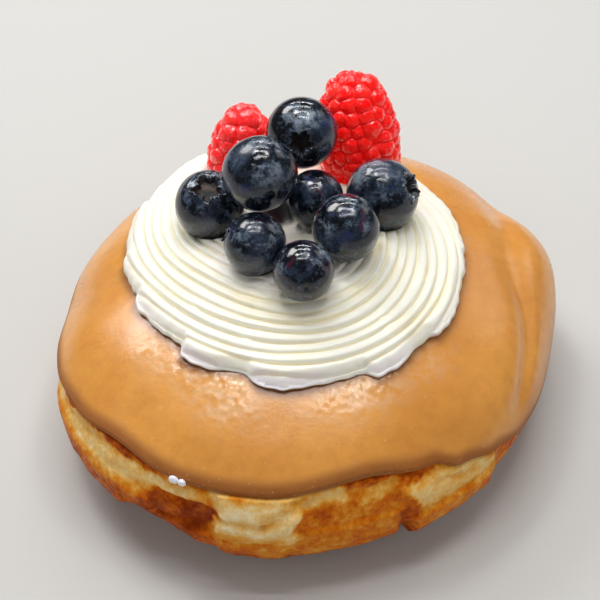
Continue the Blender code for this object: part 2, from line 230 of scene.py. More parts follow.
def mixNode(tree, factor, first, second, blend="MIX"):
    node = addNode(tree, "ShaderNodeMix", data_type="RGBA", blend_type=blend)
    for index, value in ((0, factor), (6, first), (7, second)):
        if isinstance(value, (int, float)):
            node.inputs[index].default_value = value
        elif isinstance(value, np.ndarray):
            node.inputs[index].default_value = (*value.tolist(), 1.0)
        else:
            tree.links.new(value, node.inputs[index])
    return node.outputs[2]


def bumpNode(tree, shader, height, distance, strength):
    node = addNode(tree, "ShaderNodeBump")
    node.inputs["Distance"].default_value = distance
    node.inputs["Strength"].default_value = strength
    tree.links.new(height, node.inputs["Height"])
    tree.links.new(node.outputs["Normal"], shader.inputs["Normal"])


def objectPlace(tree):
    return addNode(tree, "ShaderNodeTexCoord").outputs["Object"]


def paintedLayer(tree, name):
    # the red, green and blue parts of a layer painted on the vertices
    layer = addNode(tree, "ShaderNodeAttribute", attribute_name=name)
    split = addNode(tree, "ShaderNodeSeparateColor")
    tree.links.new(layer.outputs["Color"], split.inputs["Color"])
    return split.outputs


def softInside(shader, weight, reach, scale):
    shader.inputs["Subsurface Weight"].default_value = weight
    shader.inputs["Subsurface Radius"].default_value = reach
    shader.inputs["Subsurface Scale"].default_value = scale


# The plump body that dough and icing share

body = {
    "radius": 0.0548, "stretch": 0.0025, "squash": -0.0009,
    # bulges and hollows of the outline: angle, spread, how proud
    "lobes": (
        (34.0, 8.0, -0.0017), (135.0, 14.0, 0.0004), (180.0, 8.0, -0.0014), (212.0, 13.0, 0.0008),
        (260.0, 16.0, 0.0006), (350.0, 11.0, -0.0009),
    ),
    "equator": 0.017, "domeHeight": 0.0233, "domePower": 2.1,
    "bellyDepth": 0.018, "bellyPower": 3.4,
}
bodyTop = body["equator"] + body["domeHeight"]
skinGap = 0.00035
# the closed top under the icing: degrees from the edge to its first row, shares of the way up
neckRise = 2.5
domeSteps = (0.24, 0.50, 0.76)


def bodyRadius(angle):
    twice = np.radians(2.0 * angle)
    radius = body["radius"] + body["squash"] * np.cos(twice) + body["stretch"] * np.sin(twice)
    for middle, spread, proud in body["lobes"]:
        radius = radius + proud * bell(turnFrom(angle, middle), spread)
    return radius


def bodyPoint(angle, steep, proud):
    # steep: -90 under the middle, 0 at the widest, 90 on top
    radius = bodyRadius(angle)
    upper = steep >= 0.0
    height = np.where(upper, body["domeHeight"], body["bellyDepth"])
    power = np.where(upper, body["domePower"], body["bellyPower"])
    across = np.maximum(np.cos(np.radians(steep)), tiny)
    up = np.maximum(np.abs(np.sin(np.radians(steep))), tiny)
    size = (across ** power + up ** power) ** (-1.0 / power)
    across = across * size
    up = up * size
    side = np.where(upper, 1.0, -1.0)
    outX = across ** (power - 1.0) / radius
    outZ = side * up ** (power - 1.0) / height
    length = np.hypot(outX, outZ)
    reach = np.maximum(radius * across + proud * outX / length, 0.0)
    rise = body["equator"] + side * height * up + proud * outZ / length
    turn = np.radians(angle)
    return reach * np.cos(turn), reach * np.sin(turn), np.maximum(rise, 0.0)


def steepAt(height):
    height = np.asarray(height, float)
    upper = height >= body["equator"]
    depth = np.where(upper, body["domeHeight"], body["bellyDepth"])
    power = np.where(upper, body["domePower"], body["bellyPower"])
    up = np.minimum(np.abs(height - body["equator"]) / depth, 1.0)
    across = (1.0 - up ** power) ** (1.0 / power)
    return np.degrees(np.arctan2(np.where(upper, up, -up), across))


# Icing: a smooth coat with a rounded lower lip, one fold and a lump at the right

icing = {
    # height of the lower edge, and further down of the fold: angle, height
    "edge": (
        (20, 0.0155), (60, 0.0172), (85, 0.0160), (112, 0.0190), (150, 0.0178), (180, 0.0200),
        (199, 0.0218), (212, 0.0235), (227, 0.0252), (241, 0.0244), (260, 0.0248), (282, 0.0262),
        (298, 0.0243), (306, 0.0213), (316, 0.0187), (325, 0.0164), (345, 0.0148),
    ),
    "skin": 0.0023, "proud": 0.0003, "lipRoll": 0.0004,
    "fold": (
        (36, 0.0270), (27, 0.0295), (18, 0.0312), (9, 0.0315), (0, 0.0306),
        (352, 0.0285), (344, 0.0268), (335, 0.0248), (327, 0.0225),
    ),
    "foldDepth": 0.0011, "foldWidth": 0.0013,
    "columns": 560, "rows": 108, "lipStart": 1.6,
    # round the lip and in under it: degrees above the edge, how proud
    "lips": (
        (1.3, 0.00050), (0.75, 0.00036), (0.3, 0.00012), (0.05, -0.00022),
        (0.0, -0.00062), (0.3, -0.00110), (0.8, -0.00160),
    ),
    # the lump at the right: angle, height, spread along, spread up, how proud
    "lump": ((17.0, 0.0250, 11.0, 0.0060, 0.0027),),
    # soft hollows (-) and swellings (+), in the same order
    "dents": (
        (229.0, 0.0295, 3.4, 0.0016, -0.00035), (215.0, 0.0330, 6.0, 0.0016, 0.00022),
        (222.0, 0.0362, 5.0, 0.0010, -0.00025), (245.0, 0.0352, 7.0, 0.0012, 0.00030),
        (236.0, 0.0335, 4.0, 0.0010, -0.00018), (262.0, 0.0330, 9.0, 0.0016, -0.00020),
        (293.0, 0.0352, 8.0, 0.0012, 0.00026), (278.0, 0.0290, 9.0, 0.0020, 0.00020),
        (305.0, 0.0262, 7.0, 0.0014, -0.00025), (200.0, 0.0290, 7.0, 0.0022, 0.00030),
        (320.0, 0.0320, 9.0, 0.0022, -0.00020), (345.0, 0.0350, 6.0, 0.0012, 0.00020),
    ),
    # where the coat has dried into fine glossy wrinkles, in the same order, but how strong at the end
    "crinkles": (
        (222.0, 0.0352, 6.0, 0.0013, 0.7), (246.0, 0.0348, 6.0, 0.0017, 1.0),
        (233.0, 0.0350, 4.0, 0.0010, 0.6), (289.0, 0.0350, 9.0, 0.0014, 0.8),
        (275.0, 0.0350, 6.0, 0.0010, 0.4), (10.0, 0.0368, 5.0, 0.0010, 0.6),
        (352.0, 0.0366, 3.5, 0.0008, 0.6), (312.0, 0.0345, 6.0, 0.0012, 0.4),
        (120.0, 0.0350, 12.0, 0.0012, 0.5),
    ),
}


def foldRelief(angle, height):
    lump = spots(angle, height, icing["lump"])
    middle = icing["fold"][4][0]
    turns = np.array([turnFrom(place[0], middle) for place in icing["fold"]])
    levels = np.array([place[1] for place in icing["fold"]])
    here = turnFrom(angle, middle)
    inside = plateau(here - 0.5 * (turns[0] + turns[-1]), 0.5 * (turns[0] - turns[-1]), 12.0)
    level = np.interp(here, turns[::-1], levels[::-1])
    return lump - icing["foldDepth"] * inside * bell(height - level, icing["foldWidth"])


def icingSkin(angle, steep):
    height = bodyPoint(angle, steep, 0.0)[2]
    return bodyPoint(angle, steep, icing["proud"] + foldRelief(angle, height))


def icingHeight(x, y):
    # height of the icing's top over a place, found by halving
    angle = np.degrees(np.arctan2(y, x))
    reach = np.hypot(x, y)
    low = np.zeros(reach.shape)
    high = np.full(reach.shape, 90.0)
    for _ in range(20):
        steep = 0.5 * (low + high)
        px, py, pz = icingSkin(angle, steep)
        outside = np.hypot(px, py) > reach
        low = np.where(outside, steep, low)
        high = np.where(outside, high, steep)
    return pz


def makeIcing(material):
    columns = icing["columns"]
    outside = icing["rows"]
    lips = icing["lips"]
    rows = outside + len(lips) + len(domeSteps) + 3

    def place(column, row):
        angle = crowded(column, columns)
        edge = steepAt(valueRound(icing["edge"], angle))
        # rows stand closer together towards the lip
        share = np.clip(1.0 - row / (outside + 0.5), 0.0, 1.0) ** 1.15
        steep = edge + icing["lipStart"] + (90.0 - icing["lipStart"] - edge) * share
        height = bodyPoint(angle, steep, 0.0)[2]
        roll = icing["lipRoll"] * bell(share * 0.95, 0.07)
        proud = icing["proud"] + roll + foldRelief(angle, height) + spots(angle, height, icing["dents"])
        crinkle = spots(angle, height, icing["crinkles"])
        below = row - outside - 1
        for index, (above, out) in enumerate(lips):
            here = below == index
            steep = np.where(here, edge + above, steep)
            proud = np.where(here, out, proud)
        neck = edge + neckRise
        here = below == len(lips)
        steep = np.where(here, neck, steep)
        for index, step in enumerate(domeSteps):
            here = here | (below == len(lips) + 1 + index)
            steep = np.where(below == len(lips) + 1 + index, neck + (90.0 - neck) * step, steep)
        proud = np.where(here, skinGap - icing["skin"], proud)
        x, y, z = bodyPoint(angle, steep, proud)
        skin = (row > 0) & (row <= outside)
        points = stack(x, y, z)
        slow = wanderOn(skin, points, 0.011, 2, 3.0)
        # fine wrinkles lie round the doughnut, so their pattern is squeezed upwards
        squeezed = stack(np.radians(angle) * 0.045, z * 2.2, np.hypot(x, y) * 1.6)
        fine = wanderOn(skin, squeezed, 0.0016, 3, 8.0)
        lift = 0.00010 * slow + 0.00017 * fine * np.minimum(crinkle, 1.0)
        lift = np.where(skin, lift * smoothStep(share * 9.0), 0.0)
        x, y, z = bodyPoint(angle, steep, proud + lift)
        x, y, z = pick(row == 0, (0.0, 0.0, bodyTop + icing["proud"]), (x, y, z))
        x, y, z = pick(row == rows - 1, (0.0, 0.0, bodyTop - icing["skin"] + skinGap), (x, y, z))
        # painted shade: the lip, and the lower right side, are marked to be coloured darker; the same mark
        # dulls the gloss
        lip = smoothStep(1.0 - share * 9.0)
        atSide = plateau(turnFrom(angle, 345.0), 25.0, 30.0)
        lip = np.maximum(lip, 0.5 * smoothStep(1.0 - share * 3.6) * atSide)
        # painted shadow: the icing is coloured darker brown in a band just outside the rim of the cream
        awayX, awayY = x - cream["centre"][0], y - cream["centre"][1]
        roundCream = np.degrees(np.arctan2(awayY, awayX)) % 360.0
        creamRimShadow = bell(np.hypot(awayX, awayY) - creamEdge(roundCream), 0.0009) * skin
        creamRimShadow = creamRimShadow * (0.45 + 0.50 * bell(turnFrom(roundCream, 250.0), 45.0))
        marks = stack(np.clip(crinkle, 0.0, 1.0) * (1.0 - creamRimShadow), lip, creamRimShadow)
        return stack(x, y, z), marks

    bm = makeGrid(columns, rows, "marks", place)
    return addPiece("icingCoat", bm, material, ["icing"])


def icingMaterial():
    material, tree, shader = newMaterial("caramelIcing", 0.32, 0.5)
    place = objectPlace(tree)
    marks = paintedLayer(tree, "marks")
    broad = noiseNode(tree, place, 45.0, 3.0)
    base = mixNode(tree, rampNode(tree, broad, 0.3, 0.7), linear(207, 138, 58), linear(220, 154, 70))
    # painted shade darkens the lip and the lower right side
    base = mixNode(tree, rampNode(tree, marks["Green"], 0.0, 1.0, 0.0, 0.9), base, linear(140, 78, 26))
    # painted shadow of the cream's rim on the icing
    base = mixNode(tree, marks["Blue"], base, linear(104, 56, 20))
    speck = noiseNode(tree, place, 1500.0, 1.0, 0.5)
    base = mixNode(tree, rampNode(tree, speck, 0.70, 0.80, 0.0, 0.35), base, linear(240, 205, 160))
    mottle = noiseNode(tree, place, 420.0, 3.0)
    base = mixNode(tree, rampNode(tree, mottle, 0.35, 0.75, 0.0, 0.28), base, linear(180, 112, 50))
    # painted sheen: the dried wrinkles are coloured paler, as if catching the light
    paintedSheen = times(tree, marks["Red"], rampNode(tree, mottle, 0.38, 0.60, 0.12, 0.62))
    base = mixNode(tree, paintedSheen, base, linear(240, 208, 172))
    tree.links.new(base, shader.inputs["Base Color"])
    sheen = noiseNode(tree, place, 120.0, 3.0)
    rough = rampNode(tree, sheen, 0.3, 0.7, 0.25, 0.36)
    rough = mathNode(tree, "SUBTRACT", rough, times(tree, marks["Red"], 0.15))
    rough = plus(tree, rough, times(tree, marks["Green"], 0.45))
    tree.links.new(rough, shader.inputs["Roughness"])
    grain = noiseNode(tree, place, 900.0, 3.0, 0.6)
    bumpNode(tree, shader, grain, 0.00010, 0.6)
    # the lip turns down and has hardly any gloss
    dull = mathNode(tree, "SUBTRACT", 1.0, marks["Green"])
    tree.links.new(times(tree, dull, 0.45), shader.inputs["Coat Weight"])
    shader.inputs["Coat Roughness"].default_value = 0.24
    softInside(shader, 0.25, (1.0, 0.5, 0.2), 0.0025)
    return material


# Dough: the fried ring that shows below the icing

dough = {
    "columns": 620, "underRows": 9, "bellyRows": 96, "setBack": 0.0004, "plainFried": 0.58,
    # a degree round the side, in metres
    "degreeLength": 0.0009,
    # relief: angle, half width, height, half height, proud, softness in degrees
    "patches": (
        (222.0, 24.0, 0.0215, 0.0028, -0.0005, 6.0), (222.0, 24.0, 0.0135, 0.0040, 0.0006, 7.0),
        (244.0, 6.3, 0.0172, 0.0040, -0.0019, 2.4), (259.5, 8.0, 0.0200, 0.0056, 0.0011, 1.8),
        (279.0, 10.0, 0.0210, 0.0040, -0.0008, 2.5), (304.0, 13.0, 0.0180, 0.0040, 0.0006, 1.8),
        (291.5, 1.8, 0.0075, 0.0050, -0.0018, 1.4), (236.5, 7.5, 0.0080, 0.0055, -0.0015, 5.0),
        (259.0, 7.0, 0.0080, 0.0060, 0.0008, 3.0), (304.0, 12.0, 0.0090, 0.0055, 0.0013, 3.0),
        (20.0, 20.0, 0.0100, 0.0035, 0.0005, 9.0), (75.0, 14.0, 0.0120, 0.0040, -0.0007, 8.0),
        (118.0, 16.0, 0.0130, 0.0045, 0.0006, 6.0), (152.0, 10.0, 0.0120, 0.0040, -0.0009, 5.0),
    ),
    # folds in the pale crumb: angle and height of both ends, width, depth, how much painted shade darkens
    # the colour along it
    "folds": (
        ((251.5, 0.0196), (261.0, 0.0196), 0.0006, 0.0007, 0.10),
        ((261.0, 0.0196), (269.0, 0.0236), 0.0007, 0.0008, 0.14),
        ((251.0, 0.0135), (251.6, 0.0225), 0.0005, 0.0006, 0.12),
        ((298.0, 0.0205), (309.0, 0.0190), 0.0006, 0.0004, 0.10),
        ((206.0, 0.0200), (224.0, 0.0222), 0.0006, 0.0004, 0.10),
    ),
    # how far the crust is fried, 0 pale to 1 dark: angle, half width, height, half height,
    # softness in degrees, softness in metres, strength, value
    "fried": (
        (0.0, 190.0, 0.0010, 0.0070, 9.0, 0.0050, 0.95, 0.80),
        (100.0, 92.0, 0.0122, 0.0018, 14.0, 0.0056, 0.85, 0.14),
        (345.0, 16.0, 0.0112, 0.0014, 12.0, 0.0050, 0.55, 0.22),
        (221.0, 27.0, 0.0208, 0.0032, 6.0, 0.0040, 1.0, 0.13),
        (219.0, 26.0, 0.0108, 0.0030, 8.0, 0.0056, 0.9, 0.72),
        (279.0, 12.0, 0.0160, 0.0080, 4.0, 0.0040, 0.6, 0.46),
        (259.0, 8.6, 0.0202, 0.0050, 1.8, 0.0080, 1.0, 0.05),
        (265.0, 6.4, 0.0124, 0.0030, 5.0, 0.0050, 0.6, 0.42),
        (270.0, 9.0, 0.0246, 0.0026, 3.0, 0.0020, 0.95, 0.17),
        (285.0, 4.4, 0.0226, 0.0014, 2.2, 0.0010, 0.75, 0.20),
        (292.5, 2.0, 0.0218, 0.0012, 1.5, 0.0008, 0.7, 0.16),
        (242.0, 7.6, 0.0152, 0.0048, 4.0, 0.0038, 0.9, 0.78),
        (246.8, 3.8, 0.0174, 0.0038, 1.5, 0.0022, 0.9, 0.89),
        (238.0, 8.0, 0.0104, 0.0030, 5.0, 0.0040, 0.8, 0.84),
        (305.0, 12.4, 0.0190, 0.0040, 1.4, 0.0056, 1.0, 0.13),
        (306.0, 9.0, 0.0114, 0.0030, 5.0, 0.0050, 0.6, 0.46),
        (291.0, 1.8, 0.0120, 0.0070, 1.6, 0.0040, 0.7, 0.78),
        (336.0, 12.0, 0.0120, 0.0040, 6.0, 0.0060, 0.6, 0.60),
    ),
}


def fromFold(angle, height, start, end):
    # distance from a line drawn on the side
    across = turnFrom(angle, start[0]) * dough["degreeLength"]
    runAcross = turnFrom(end[0], start[0]) * dough["degreeLength"]
    upward = height - start[1]
    runUp = end[1] - start[1]
    share = (across * runAcross + upward * runUp) / (runAcross * runAcross + runUp * runUp)
    share = np.clip(share, 0.0, 1.0)
    return np.hypot(across - share * runAcross, upward - share * runUp)


def makeDough(material):
    columns = dough["columns"]
    belly = dough["bellyRows"]
    underRows = dough["underRows"]
    rows = underRows + belly + 1 + len(domeSteps) + 1

    def place(column, row):
        angle = crowded(column, columns)
        base = float(steepAt(0.0))
        edgeHeight = valueRound(icing["edge"], angle)
        edge = steepAt(edgeHeight)
        neck = edge + neckRise
        share = np.clip((row - underRows) / (belly - 1.0), 0.0, 1.0)
        steep = base + (edge - 0.2 - base) * share
        baseX, baseY, _ = bodyPoint(angle, np.full(angle.shape, base), 0.0)
        under = row < underRows
        x, y, z = bodyPoint(angle, steep, 0.0)
        points = stack(x, y, z)
        skin = (row >= underRows) & (row < underRows + belly)
        warpA = wanderOn(skin, points, 0.0040, 3, 1.0)
        warpB = wanderOn(skin, points, 0.0050, 3, 2.0)
        lumps = wanderOn(skin, points, 0.0045, 2, 4.0)
        fine = wanderOn(skin, points, 0.0011, 3, 5.0)
        relief = np.full(x.shape, -dough["setBack"])
        for middle, halfWidth, level, halfHeight, proud, softness in dough["patches"]:
            sideways = plateau(turnFrom(angle + 1.2 * warpA, middle), halfWidth, softness)
            relief = relief + proud * sideways * plateau(z + 0.0007 * warpB - level, halfHeight, 0.0013)
        for start, end, width, depth, _ in dough["folds"]:
            line = fromFold(angle + 1.2 * warpA, z + 0.0009 * warpB, start, end)
            relief = relief - depth * bell(line, width)
        floorFade = smoothStep(z / 0.0015)
        relief = relief + (0.00022 * lumps + 0.00007 * fine) * floorFade
        relief = np.where(share >= 1.0, -0.00055, relief)
        x, y, z = bodyPoint(angle, steep, relief)
        # how far it is fried
        fried = np.full(x.shape, dough["plainFried"])
        warpedAngle = angle + 2.0 * warpA
        warpedHeight = z + 0.0012 * warpB + 0.0003 * fine
        for middle, halfWidth, level, halfHeight, softAngle, softHeight, strength, value in dough["fried"]:
            mask = plateau(turnFrom(warpedAngle, middle), halfWidth, softAngle)
            if halfWidth >= 180.0:
                mask = np.ones(x.shape)
            mask = mask * plateau(warpedHeight - level, halfHeight, softHeight) * strength
            fried = fried + (value - fried) * mask
        # painted shade along the folds
        for start, end, width, _, foldShade in dough["folds"]:
            line = fromFold(angle + 1.2 * warpA, z + 0.0009 * warpB, start, end)
            fried = fried + foldShade * bell(line, 1.2 * width)
        # painted shade under the icing's lip: the crust is coloured dark brown in a thin line just below
        # the edge
        drop = edgeHeight - warpedHeight
        brown = plateau(drop - 0.0003, 0.0009, 0.0009)
        where = 0.04 + 0.96 * np.maximum(
            plateau(turnFrom(angle, 214.0), 25.0, 8.0), 0.7 * plateau(turnFrom(angle, 288.0), 12.0, 5.0))
        where = np.maximum(where, 0.8 * plateau(turnFrom(angle, 345.0), 30.0, 10.0))
        fried = fried + (0.84 - fried) * 0.9 * brown * where
        tone = np.repeat(np.clip(fried, 0.0, 1.0)[:, None], 3, axis=1)
        inner = np.where(under, row / underRows, 1.0)
        x, y, z = pick(under, (baseX * inner, baseY * inner, 0.0), (x, y, z))
        above = row - underRows - belly
        for index in range(1 + len(domeSteps)):
            steepHere = neck if index == 0 else neck + (90.0 - neck) * domeSteps[index - 1]
            x, y, z = pick(above == index, bodyPoint(angle, steepHere, -icing["skin"]), (x, y, z))
        x, y, z = pick(row == rows - 1, (0.0, 0.0, bodyTop - icing["skin"]), (x, y, z))
        return stack(x, y, z), tone

    bm = makeGrid(columns, rows, "tone", place)
    return addPiece("doughRing", bm, material, ["dough"])


def doughMaterial():
    material, tree, shader = newMaterial("friedDough", 0.5, 0.10)
    place = objectPlace(tree)
    fried = paintedLayer(tree, "tone")["Red"]
    # the grain of the crust is stronger where it is darker
    patch = noiseNode(tree, place, 230.0, 4.0, 0.6)
    grain = noiseNode(tree, place, 900.0, 4.0, 0.65)
    broadStray = rampNode(tree, patch, 0.25, 0.75, -0.17, 0.17)
    stray = plus(tree, broadStray, rampNode(tree, grain, 0.25, 0.75, -0.13, 0.13))
    reach = rampNode(tree, fried, 0.05, 0.5, 0.35, 1.0)
    amount = plus(tree, fried, times(tree, stray, reach))
    ramp = addNode(tree, "ShaderNodeValToRGB")
    stops = (
        (0.02, (246, 228, 188)), (0.13, (236, 198, 126)), (0.27, (228, 164, 66)), (0.44, (216, 130, 26)),
        (0.60, (204, 102, 10)), (0.76, (168, 72, 5)), (0.92, (136, 50, 5)),
    )
    while len(ramp.color_ramp.elements) < len(stops):
        ramp.color_ramp.elements.new(0.5)
    for element, (position, colour) in zip(ramp.color_ramp.elements, stops):
        element.position = position
        element.color = opaque(*colour)
    tree.links.new(amount, ramp.inputs["Fac"])
    fine = noiseNode(tree, place, 1900.0, 2.0, 0.5)
    specks = rampNode(tree, fine, 0.66, 0.78, 0.0, 0.45)
    base = mixNode(tree, specks, ramp.outputs["Color"], linear(120, 56, 12))
    tree.links.new(base, shader.inputs["Base Color"])
    oil = noiseNode(tree, place, 700.0, 2.0, 0.5)
    tree.links.new(rampNode(tree, oil, 0.40, 0.66, 0.62, 0.30), shader.inputs["Roughness"])
    bump = noiseNode(tree, place, 850.0, 4.0, 0.6)
    bumpNode(tree, shader, bump, 0.00032, 0.7)
    softInside(shader, 0.2, (1.0, 0.45, 0.18), 0.002)
    return material


# Cream: a swirl of ridges round its own middle, with torn frills at its edge

cream = {
    "centre": (-0.0025, 0.0020), "columns": 660, "radius": 0.0354,
    "lobes": ((283.0, 26.0, 0.0010), (207.0, 15.0, -0.0010), (128.0, 36.0, 0.0026)),
    "rearAngle": 125.0, "rearSpread": 38.0, "thick": 0.0026, "shoulder": 0.0022,
    "shoulderRadius": 0.015, "shoulderSpread": 0.007, "rearThick": 0.0038, "rearEdge": 0.0024,
    "edgeFront": 0.0008, "edgeSide": 0.0020, "rimRound": 0.0022,
    "pitch": 0.00214, "arms": 11, "start": 0.0298, "halfDepth": 0.00040, "inner": 0.011,
    "frills": (
        (18, 0.0005, 26), (52, 0.0008, 30), (88, 0.0007, 28), (121, 0.0009, 26), (152, 0.0010, 25),
        (178, 0.0008, 20), (199, 0.0013, 29), (229, 0.0019, 24), (254, 0.0021, 36),
        (291, 0.0020, 24), (316, 0.0012, 30),
    ),
    # a rib's section from its crest outwards: share of the pitch and height
    "ribs": (
        (0.0, 1.0), (0.07, 0.80), (0.13, 0.0), (0.18, -0.90), (0.23, -1.0), (0.30, -0.70), (0.43, -0.05),
        (0.62, 0.50), (0.82, 0.90),
    ),
    # how far in from the rim the outermost rib ends
    "ribInset": 0.00030,
    "underRadii": (0.0, 0.015, 0.025, 0.032),
    # round the rim, from the underside up: how far in, and share of the rim's thickness
    "rim": ((0.0010, 0.0), (0.0003, 0.03), (0.0, 0.25), (-0.00008, 0.55), (0.00004, 0.82), (0.00028, 1.0)),
    "innerRadii": (
        0.0098, 0.0086, 0.0075, 0.0065, 0.0056, 0.0047, 0.0039, 0.0031, 0.0024, 0.0017, 0.0010, 0.0,
    ),
    # smooth smears near the berries: angle, radius, spread along, spread out, how much of the ribs goes
    "smears": (
        (252.0, 0.0135, 34.0, 0.0032, 0.95), (205.0, 0.0125, 22.0, 0.0022, 0.7),
        (290.0, 0.0175, 18.0, 0.0026, 0.6), (245.0, 0.0200, 14.0, 0.0016, 0.7),
    ),
    # torn lips of the ribs: angle, radius, spread along, spread out, how proud
    "tornLips": (
        (225.0, 0.0285, 1.6, 0.0004, 0.00045), (251.0, 0.0303, 1.4, 0.0004, 0.0004),
        (306.0, 0.0308, 3.0, 0.0004, 0.0005), (306.0, 0.0288, 1.5, 0.0004, 0.0004),
        (336.0, 0.0293, 1.6, 0.0004, 0.0004),
    ),
    # the sunk middle and its torn peak: place, spread, how high
    "hollows": (
        ((-0.0052, 0.0075), 0.0034, -0.0022), ((-0.0020, 0.0062), 0.0030, -0.0018),
        ((-0.0075, -0.0008), 0.0020, -0.0012), ((-0.0034, 0.0046), 0.0006, 0.0016),
        ((-0.0028, 0.0032), 0.0006, 0.0012), ((0.0008, 0.0036), 0.0005, 0.0013),
        ((-0.0012, 0.0048), 0.0008, -0.0010), ((-0.0014, 0.0016), 0.0014, 0.0012),
    ),
    # tints: angle, radius, spread along, spread out, strength, colour
    "tints": (
        (246.0, 0.0220, 12.0, 0.0012, 0.55, (238, 226, 180)),
        (276.0, 0.0250, 18.0, 0.0007, 0.5, (238, 226, 184)),
        (329.0, 0.0332, 9.0, 0.0007, 0.5, (236, 222, 176)),
        (338.0, 0.0180, 8.0, 0.0010, 0.5, (240, 228, 186)),
        (300.0, 0.0215, 14.0, 0.0008, 0.4, (240, 230, 190)),
        (236.0, 0.0165, 26.0, 0.0024, 0.45, (232, 222, 224)),
        (286.0, 0.0160, 16.0, 0.0020, 0.40, (232, 222, 224)),
        (205.0, 0.0160, 14.0, 0.0016, 0.35, (232, 222, 222)),
        (20.0, 0.0250, 20.0, 0.0008, 0.4, (240, 230, 196)),
        (196.0, 0.0290, 16.0, 0.0007, 0.3, (238, 230, 200)),
    ),
    # painted shade in the dark gaps between the berries: place, reach, softness, strength, colour
    "shades": (
        ((-0.0058, 0.0100), 0.0036, 0.0024, 0.99, (16, 8, 14)),
        ((-0.0008, 0.0062), 0.0018, 0.0009, 0.97, (20, 12, 16)),
        ((-0.0070, 0.0050), 0.0012, 0.0018, 0.95, (30, 20, 26)),
        ((-0.0086, 0.0084), 0.0030, 0.0024, 0.96, (22, 12, 18)),
    ),
}

blueberry = {
    # place, radius, the way the calyx faces, how tall and how wide the calyx is
    "berries": (
        ((-0.0099, 0.0030, 0.0580), 0.0077, (0.3, 0.5, -0.8), 1.0, 1.0),
        ((-0.0014, 0.0160, 0.0584), 0.0075, (-0.05, -0.95, 0.32), 0.6, 1.25),
        ((-0.0206, 0.0059, 0.0474), 0.0073, (0.0, -0.31, 0.95), 0.9, 1.45),
        ((-0.0108, -0.0082, 0.0490), 0.0064, (-0.87, 0.33, 0.35), 1.3, 1.0),
        ((-0.0011, -0.0166, 0.0494), 0.0061, (-0.27, 0.85, -0.45), 1.0, 1.0),
        ((0.0075, -0.0054, 0.0508), 0.0069, (0.2, 0.39, -0.89), 1.0, 1.0),
        ((0.0154, 0.0078, 0.0484), 0.0077, (0.83, -0.23, 0.5), 1.1, 1.15),
        ((0.0013, 0.0063, 0.0487), 0.0061, (0.2, 0.3, -0.93), 1.0, 1.0),
    ),
    # a small scar: which berry has it, the way it faces, how wide in radians
    "scar": (4, (0.10, -0.985, 0.12), 0.075),
    "columns": 120, "rows": 84, "calyxRows": 30,
    # pale, indigo and purple over the dark skin: scale, detail and roughness of the noise,
    # where it starts and is full, how strong, colour
    "blotches": (
        ((330.0, 5.0, 0.75), 0.52, 0.70, 0.8, (88, 104, 124)),
        ((210.0, 3.0, 0.6), 0.60, 0.70, 0.55, (34, 38, 92)),
        ((290.0, 2.0, 0.5), 0.63, 0.73, 0.5, (82, 24, 48)),
    ),
    # the calyx's section from its floor out over the rim: share of the way, then how far
    # across and how high over the skin, each between two lobes and on a lobe
    "calyx": (
        (0.0, 0.22, 0.42, 0.52, 0.66, 0.74, 0.82, 1.0),
        (0.0, 0.11, 0.185, 0.215, 0.240, 0.262, 0.285, 0.40),
        (0.0, 0.11, 0.190, 0.230, 0.300, 0.330, 0.335, 0.40),
        (-0.20, -0.215, -0.195, -0.125, -0.060, -0.035, -0.030, 0.0),
        (-0.20, -0.215, -0.195, -0.110, 0.030, 0.050, 0.025, 0.0),
    ),
}

raspberry = {
    # middle of the base, the way the tip points, length, width, size of a bead, bluntness
    "berries": (
        ((-0.0144, 0.0238, 0.0410), (0.0, 0.27, 0.96), 0.0166, 0.0160, 0.0037, 1.8),
        ((0.0122, 0.0234, 0.0410), (-0.14, 0.27, 0.95), 0.0243, 0.0186, 0.0034, 2.8),
    ),
    "widest": 0.28, "baseNarrowing": 0.34, "rowSpacing": 0.88,
    "columns": 320, "rows": 220,
}


def ridgeDrift(angle):
    return 0.001 * (
        0.83 * np.cos(np.radians(angle - 73.0))
        + 1.56 * np.cos(np.radians(2.0 * (angle + 41.0)))
        + 0.70 * np.cos(np.radians(3.0 * (angle - 29.0)))
    )


def ridgeRadius(number, turn):
    inward = cream["arms"] * cream["pitch"] * (turn - 270.0) / 360.0
    return cream["start"] + cream["pitch"] * number - inward + ridgeDrift(turn)


def frillAt(angle):
    total = np.zeros(np.shape(angle))
    for start, proud, length in cream["frills"]:
        along = ((angle - start) % 360.0) / length
        shape = smoothStep(along / 0.16) * (1.0 - smoothStep((along - 0.25) / 0.75))
        total = total + np.where(along < 1.0, proud * shape, 0.0)
    return total


def creamEdge(angle):
    edge = cream["radius"] + frillAt(angle)
    for middle, spread, proud in cream["lobes"]:
        edge = edge + proud * bell(turnFrom(angle, middle), spread)
    return edge


def berryUnderside(x, y, clear):
    # lowest height of any berry over a place
    lowest = np.full(x.shape, 1.0)
    for (bx, by, bz), radius, _, _, _ in blueberry["berries"]:
        wide = radius + clear
        away = np.hypot(x - bx, y - by)
        reach = np.minimum(away, 0.7 * wide)
        lowest = np.minimum(lowest, bz - np.sqrt(wide * wide - reach * reach) + away - reach)
    for (bx, by, bz), lean, length, width, _, _ in raspberry["berries"]:
        foot = 0.5 * width * (1.0 - raspberry["baseNarrowing"])
        wide = 0.5 * width + clear
        away = np.hypot(x - bx, y - by)
        tilt = ((x - bx) * lean[0] + (y - by) * lean[1]) / lean[2]
        curve = np.clip(np.maximum(away - foot, 0.0) / (wide - foot), 0.0, 1.0)
        rise = length * raspberry["widest"] * (1.0 - np.sqrt(1.0 - curve * curve))
        lowest = np.where(away < wide, np.minimum(lowest, bz - clear - tilt + rise), lowest)
    return lowest


